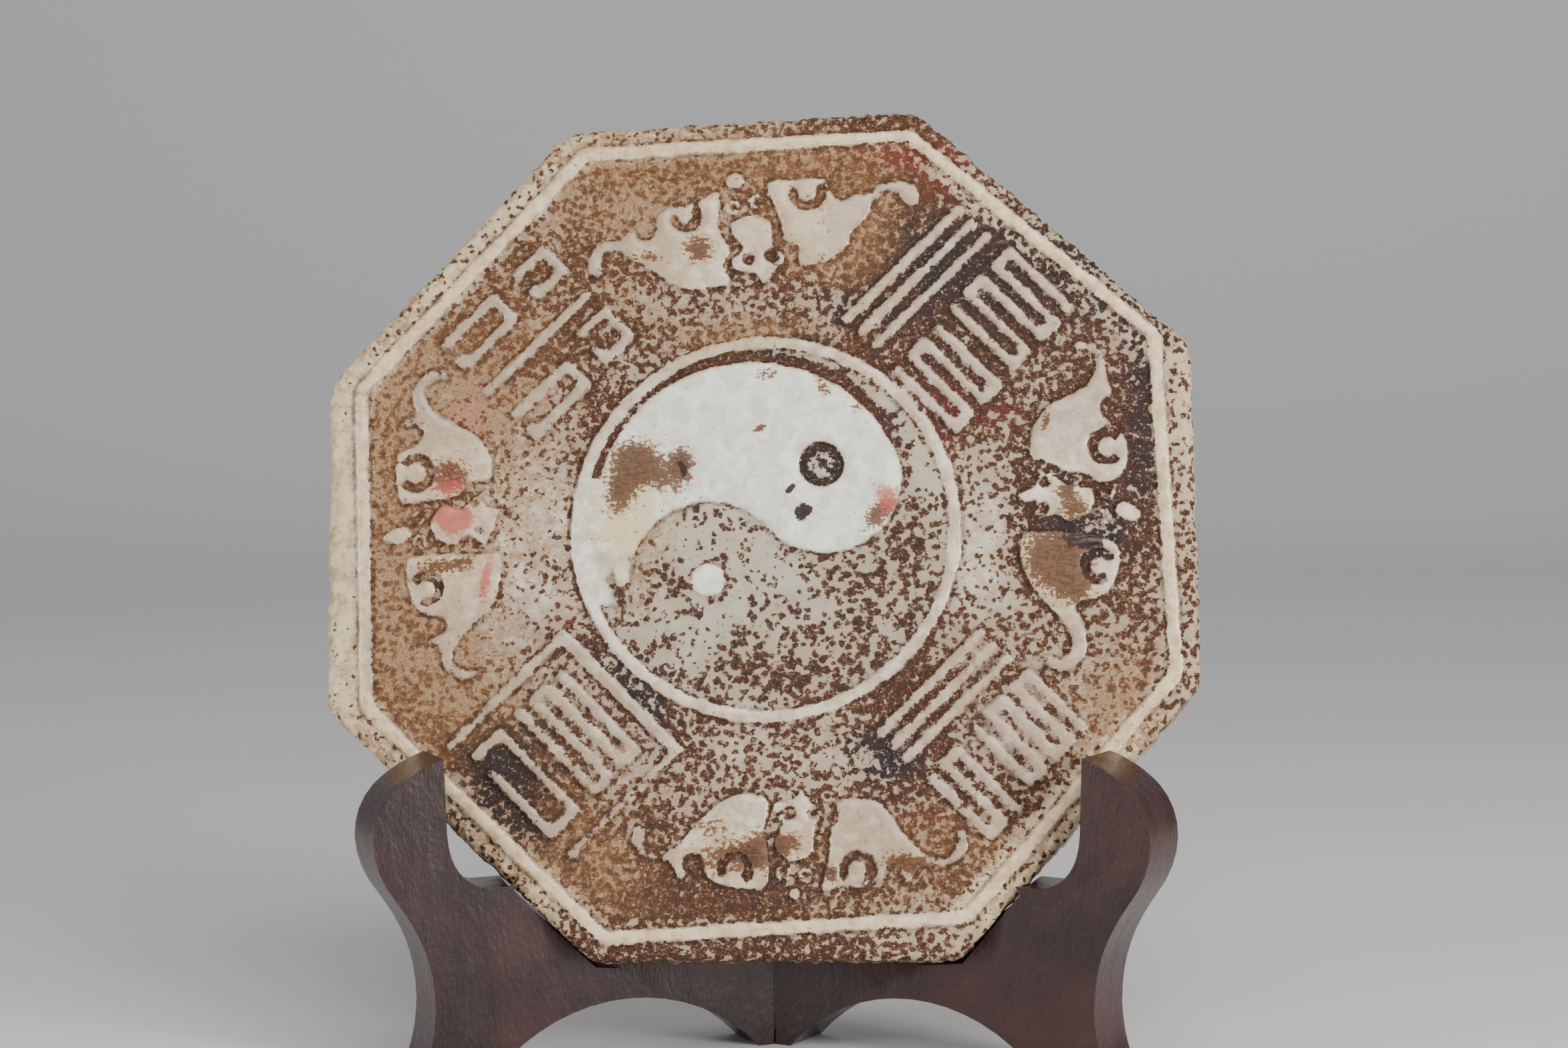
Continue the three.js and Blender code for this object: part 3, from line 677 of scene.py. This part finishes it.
def jade_material():
    s = Shader("jade")
    place_mm = s.read("layout", "Vector")
    edge = s.read("edge")
    pit = s.read("pit")
    share = s.read("share")
    red, dark, tan = s.read_three("tint")
    stain, dark_stain, red_stain = s.read_three("stain")
    yang, side, yin = s.read_three("place")
    fret = s.read("fret")

    # Random fields.
    crumb = s.noise(place_mm, 0.62, 4, 0.6)
    yin_crumb = s.noise(place_mm, 0.34, 4, 0.65)
    fine = s.noise(place_mm, 0.95, 3, 0.6)
    finer = s.noise(place_mm, 2.6, 3, 0.6)
    wide = s.noise(place_mm, 0.11, 3, 0.55)
    cloud = s.noise(place_mm, 0.2, 4, 0.6, 0.8)
    patch = s.noise(place_mm, 0.33, 3, 0.6)
    grit = s.noise(place_mm, 2.0, 4, 0.75)
    brush = s.noise(s.stretch(place_mm, 0.5, 2.2, 1, 0.9), 0.8, 4, 0.7)
    coarse = s.noise(place_mm, 0.9, 5, 0.75)

    # The stone.
    stone = s.mix(s.span(cloud, 0.36, 0.64), (0.53, 0.41, 0.29), (0.78, 0.67, 0.52))
    golden = s.span(s.add(patch, s.times(tan, 0.35)), 0.5, 0.8, 0.0, 0.5)
    stone = s.mix(golden, stone, (0.5, 0.34, 0.18))
    stone = s.mix(s.times(fret, s.span(patch, 0.3, 0.7, 0.4, 0.9)), stone, (0.42, 0.31, 0.22))
    stone = s.mix(s.times(yin, 0.7), stone, (0.52, 0.47, 0.34))
    white = s.mix(s.span(cloud, 0.36, 0.64), (0.68, 0.66, 0.53), (0.87, 0.87, 0.77))
    yellowed = s.span(s.add(tan, s.times(s.off(patch), 1.6)), 0.25, 0.8, 0.0, 0.75)
    white = s.mix(yellowed, white, (0.7, 0.55, 0.28))
    stone = s.mix(yang, stone, white)
    cream = s.mix(s.span(patch, 0.42, 0.66), (0.9, 0.7, 0.43), (0.62, 0.42, 0.22))
    stone = s.mix(side, stone, cream)

    # The pits, which also bite into the edges of the raised flats.
    field_pits = s.add(s.times(s.dots(place_mm, 0.62), 0.5), s.times(s.span(crumb, 0.32, 0.68), 0.5))
    yin_pits = s.add(s.times(s.dots(place_mm, 0.6), 0.5), s.times(s.span(yin_crumb, 0.33, 0.67), 0.5))
    even = s.mix(yin, field_pits, yin_pits)
    pit_value = s.add(s.add(s.times(even, 0.86), s.times(pit, 0.14)), s.times(s.off(fine), 0.6))
    depth = s.add(s.off(pit_value), s.times(s.off(share), 0.8))
    pitted = s.span(depth, -0.015, 0.02)
    halo = s.span(depth, -0.12, 0.0)
    bite = s.times(s.span(depth, 0.0, 0.2), s.span(yang, 0.0, 1.0, 0.3, 0.0, "LINEAR"))
    bitten = s.math("SUBTRACT", s.add(edge, s.times(s.off(coarse), 1.8)), bite)

    # The ground between the raised flats, washed with earth and full of pits.
    ground = s.span(bitten, 0.12, -0.1)
    rubbed = s.add(s.times(s.off(patch), 1.2), s.times(s.off(coarse), 3.4))
    wash = s.add(tan, s.times(rubbed, s.span(tan, 0.0, 0.4)))
    earth = s.mix(s.span(grit, 0.4, 0.6), (0.2, 0.086, 0.028), (0.5, 0.28, 0.115))
    ground_color = s.mix(s.span(share, 0.2, 0.46, 0.0, 0.75), stone, (0.43, 0.33, 0.22))
    ground_color = s.mix(s.times(s.span(wash, 0.2, 0.95), 0.8), ground_color, earth)
    ground_color = s.mix(s.times(halo, 0.35), ground_color, (0.34, 0.19, 0.1))
    brown = s.mix(s.span(grit, 0.4, 0.6), (0.036, 0.012, 0.006), (0.19, 0.072, 0.026))
    brown = s.mix(s.times(s.span(tan, 0.3, 1.0), 0.5), brown, (0.32, 0.15, 0.05))
    brown = s.mix(s.span(depth, 0.02, 0.3, 0.0, 0.55), brown, (0.03, 0.01, 0.006))
    rust = s.span(s.add(coarse, s.times(tan, 0.06)), 0.55, 0.66)
    brown = s.mix(s.times(rust, 0.6), brown, (0.36, 0.15, 0.05))
    uneven = s.add(s.times(s.off(patch), 1.1), s.times(s.off(grit), 0.8))
    gloom = s.add(s.add(dark, s.times(yin, 0.3)), uneven)
    dark_share = s.span(gloom, 0.15, 0.8, 0.0, 0.8)
    brown = s.mix(dark_share, brown, (0.014, 0.013, 0.016))
    # Pale dots mixed into the pits' colour are painted highlights: glints of light on their wet-looking
    # walls, not a colour of the dirt.
    painted_glint = s.span(s.add(grit, s.times(s.off(coarse), 0.6)), 0.62, 0.66)
    brown = s.mix(s.times(painted_glint, 0.75), brown, (0.6, 0.55, 0.5))
    red_share = s.span(s.add(red, s.times(s.off(fine), 1.6)), 0.35, 0.8)
    brown = s.mix(s.times(red_share, 0.7), brown, (0.17, 0.022, 0.016))
    ground_color = s.mix(s.times(red_share, s.times(red, 0.4)), ground_color, (0.5, 0.15, 0.1))
    ground_color = s.mix(pitted, ground_color, brown)
    line = s.span(s.add(edge, s.times(s.off(fine), 1.6)), -0.9, -0.35)
    line = s.times(line, s.span(s.add(wide, s.times(s.off(patch), 0.9)), 0.42, 0.66, 0.05, 0.6))
    ground_color = s.mix(line, ground_color, (0.06, 0.028, 0.017))
    color = s.mix(ground, stone, ground_color)

    # Stains brushed over the raised flats.
    hair = s.times(s.off(brush), 1.5)
    raised = s.math("SUBTRACT", 1.0, ground)
    ragged = s.add(hair, s.times(s.off(coarse), 2.4))
    smear = s.span(s.add(stain, ragged), 0.46, 0.62)
    tone = s.add(coarse, s.times(s.off(brush), 0.9))
    smear_color = s.mix(s.span(tone, 0.4, 0.6), (0.032, 0.009, 0.0035), (0.14, 0.044, 0.011))
    halo_stain = s.span(s.add(stain, s.times(ragged, 0.6)), 0.1, 0.6)
    color = s.mix(s.times(s.times(halo_stain, raised), 0.45), color, (0.62, 0.42, 0.18))
    color = s.mix(s.times(s.times(smear, raised), 0.92), color, smear_color)
    black = s.span(s.add(dark_stain, s.times(s.off(fine), 1.2)), 0.42, 0.62)
    color = s.mix(s.times(black, raised), color, (0.03, 0.015, 0.011))
    pink = s.span(s.add(red_stain, s.times(ragged, 0.8)), 0.25, 0.85)
    color = s.mix(s.times(s.times(pink, raised), 0.85), color, (0.5, 0.1, 0.07))
    worn = s.span(s.add(edge, s.times(s.off(fine), 1.5)), 0.7, 0.1)
    worn = s.times(worn, s.span(s.add(wide, s.times(s.off(grit), 0.5)), 0.42, 0.6, 0.0, 0.7))
    color = s.mix(s.times(worn, raised), color, (0.2, 0.1, 0.045))
    fleck = s.span(s.add(s.add(crumb, s.times(s.off(finer), 0.4)), s.times(tan, 0.05)), 0.69, 0.72)
    color = s.mix(s.times(s.times(fleck, raised), 0.8), color, (0.16, 0.075, 0.035))

    # Gloss, depth and bumps.
    s.put(s.surface.inputs["Base Color"], color)
    pitted_ground = s.times(pitted, ground)
    rough = s.add(s.span(ground, 0.0, 1.0, 0.2, 0.42, "LINEAR"), s.times(pitted_ground, -0.08))
    rough = s.add(rough, s.times(s.off(finer), 0.3))
    dull = s.math("MAXIMUM", pitted_ground, s.times(smear, raised))
    rough = s.add(rough, s.times(s.times(smear, raised), 0.3))
    s.put(s.surface.inputs["Roughness"], rough)
    s.put(s.surface.inputs["Specular IOR Level"], s.span(dull, 0.0, 1.0, 0.5, 0.28, "LINEAR"))
    s.put(s.surface.inputs["Subsurface Weight"], s.span(dull, 0.0, 1.0, 0.2, 0.0, "LINEAR"))
    s.put(s.surface.inputs["Subsurface Radius"], (1.0, 0.85, 0.65))
    s.put(s.surface.inputs["Subsurface Scale"], 0.0015)
    grain = s.noise(place_mm, 4.5, 3, 0.7)
    height = s.times(pitted_ground, -0.3)
    height = s.add(height, s.times(s.times(grain, ground), 0.3))
    height = s.add(height, s.times(finer, s.span(ground, 0.0, 1.0, 0.04, 0.25, "LINEAR")))
    s.put(s.surface.inputs["Normal"], s.bump(height, MM, 0.8))
    return s.material


def lacquer_material():
    s = Shader("lacquered_wood")
    where = s.node("ShaderNodeTexCoord", {}).outputs["Object"]
    wide = s.noise(where, 40, 3, 0.6)
    peel = s.noise(s.stretch(where, 1, 1, 0.45), 1300, 3, 0.6)
    swell = s.noise(s.stretch(where, 1, 1, 0.5), 190, 3, 0.5)
    brush = s.noise(s.stretch(where, 900, 900, 60), 1, 3, 0.6)
    color = s.mix(s.span(wide, 0.35, 0.65), (0.018, 0.0046, 0.0038), (0.042, 0.0105, 0.0084))
    fleck = s.span(peel, 0.36, 0.3)
    color = s.mix(s.times(fleck, 0.7), color, (0.008, 0.004, 0.004))
    s.put(s.surface.inputs["Base Color"], color)
    rough = s.span(wide, 0.3, 0.7, 0.28, 0.42, "LINEAR")
    rough = s.add(rough, s.times(s.off(peel), 0.4))
    s.put(s.surface.inputs["Roughness"], rough)
    s.put(s.surface.inputs["Specular IOR Level"], 0.38)
    s.put(s.surface.inputs["Coat Weight"], 0.4)
    s.put(s.surface.inputs["Coat IOR"], 1.38)
    s.put(s.surface.inputs["Coat Roughness"], 0.05)
    height = s.add(s.times(peel, 0.26), s.add(s.times(swell, 0.6), s.times(brush, 0.04)))
    normal = s.bump(height, MM, 0.5)
    s.put(s.surface.inputs["Normal"], normal)
    s.put(s.surface.inputs["Coat Normal"], normal)
    return s.material


def build_leaf(node_name, name):
    """The leaf's CAD mesh with its sharp edges eased and the seam between the leaves nearly closed."""
    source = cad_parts[node_name]
    mesh = source.data.copy()
    mesh.name = name
    work = bmesh.new()
    work.from_mesh(mesh)
    bmesh.ops.remove_doubles(work, verts=work.verts, dist=1e-6)
    bmesh.ops.dissolve_limit(work, angle_limit=math.radians(0.6), verts=work.verts, edges=work.edges)
    near_seam = 0.3 * MM
    for vert in work.verts:
        if abs(vert.co.x) < near_seam:
            vert.co.x = math.copysign(SEAM / 2, vert.co.x) * MM
    work.to_mesh(mesh)
    work.free()
    mesh.materials.clear()
    leaf = bpy.data.objects.new(name, mesh)
    bpy.context.scene.collection.objects.link(leaf)
    bevel = leaf.modifiers.new("eased", "BEVEL")
    bevel.width = 0.8 * MM
    bevel.segments = 3
    bevel.limit_method = "ANGLE"
    bevel.angle_limit = math.radians(35)
    mesh.polygons.foreach_set("use_smooth", np.ones(len(mesh.polygons), bool))
    weighted = leaf.modifiers.new("even", "WEIGHTED_NORMAL")
    weighted.keep_sharp = True
    return leaf


plaque = build_plaque()
plaque.data.materials.append(jade_material())
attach(plaque, "root")
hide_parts("jade_plaque")

lacquer = lacquer_material()
for side in ("left", "right"):
    leaf = build_leaf(f"stand_leaf_{side}", f"leaf_{side}_lacquered")
    leaf.data.materials.append(lacquer)
    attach(leaf, "root")
    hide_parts(f"stand_leaf_{side}")


# Floor, light and camera.


def plain(name, color, rough):
    s = Shader(name)
    s.put(s.surface.inputs["Base Color"], color)
    s.put(s.surface.inputs["Roughness"], rough)
    return s.material


def floor():
    """A sheet that lies flat and bends up behind into a backdrop."""
    depth, height, bend = 1.6, 2.4, 0.5
    profile = [(-1.8, 0.0), (depth - bend, 0.0)]
    for i in range(1, 13):
        angle = math.pi / 2 * i / 12
        profile.append((depth - bend + bend * math.sin(angle), bend - bend * math.cos(angle)))
    profile.append((depth, height))
    verts = [(x, y, z) for y, z in profile for x in (-3.0, 3.0)]
    faces = [(2 * i, 2 * i + 1, 2 * i + 3, 2 * i + 2) for i in range(len(profile) - 1)]
    mesh = bpy.data.meshes.new("floor")
    mesh.from_pydata(verts, [], faces)
    mesh.polygons.foreach_set("use_smooth", np.ones(len(mesh.polygons), bool))
    made = bpy.data.objects.new("floor", mesh)
    bpy.context.scene.collection.objects.link(made)
    made.data.materials.append(plain("pale_floor", (0.78, 0.77, 0.75), 0.7))


def direction(azimuth, elevation):
    """Out from the object, by degrees: azimuth 0 is straight in front, and 90 the viewer's right."""
    a, e = math.radians(azimuth), math.radians(elevation)
    return Vector((math.sin(a) * math.cos(e), -math.cos(a) * math.cos(e), math.sin(e)))


def area_light(name, azimuth, elevation, distance, size, power):
    aim = Vector((0, 0, 0.11))
    back = direction(azimuth, elevation)
    data = bpy.data.lights.new(name, "AREA")
    data.shape = "RECTANGLE"
    data.size, data.size_y = size
    data.energy = power
    made = bpy.data.objects.new(name, data)
    made.location = aim + back * distance
    made.rotation_euler = (-back).to_track_quat("-Z", "Y").to_euler()
    bpy.context.scene.collection.objects.link(made)


def studio_air():
    """The dim and slightly blue light that comes from all sides."""
    world = bpy.data.worlds.new("studio")
    world.use_nodes = True
    inputs = world.node_tree.nodes["Background"].inputs
    inputs["Color"].default_value = (0.9, 0.93, 1, 1)
    inputs["Strength"].default_value = 0.32
    bpy.context.scene.world = world


def photo_camera():
    """The photo's camera: a little to the viewer's right and above, and turned about its own axis."""
    distance, roll = 0.85, math.radians(-0.6)
    to_camera = direction(3.7, 5)
    right = Vector((0, 0, 1)).cross(to_camera).normalized()
    up = to_camera.cross(right)
    aim = (Vector(ORIGIN) + right * 5.82 + up * 0.77) * MM
    turned_right = right * math.cos(roll) + up * math.sin(roll)
    turned_up = up * math.cos(roll) - right * math.sin(roll)
    turn = Matrix((turned_right, turned_up, to_camera)).transposed().to_4x4()
    data = bpy.data.cameras.new("camera")
    data.sensor_width = 36
    data.lens = 85.17
    data.clip_start = 0.01
    data.clip_end = 20
    camera = bpy.data.objects.new("camera", data)
    camera.matrix_world = Matrix.Translation(aim + to_camera * distance) @ turn
    bpy.context.scene.collection.objects.link(camera)
    bpy.context.scene.camera = camera


floor()
area_light("front_soft", 22, 46, 1.1, (0.9, 0.7), 8.6)
area_light("right_strip", 52, 10, 0.9, (0.2, 0.42), 6)
area_light("left_strip", -60, 9, 0.9, (0.14, 0.4), 3)
studio_air()
photo_camera()
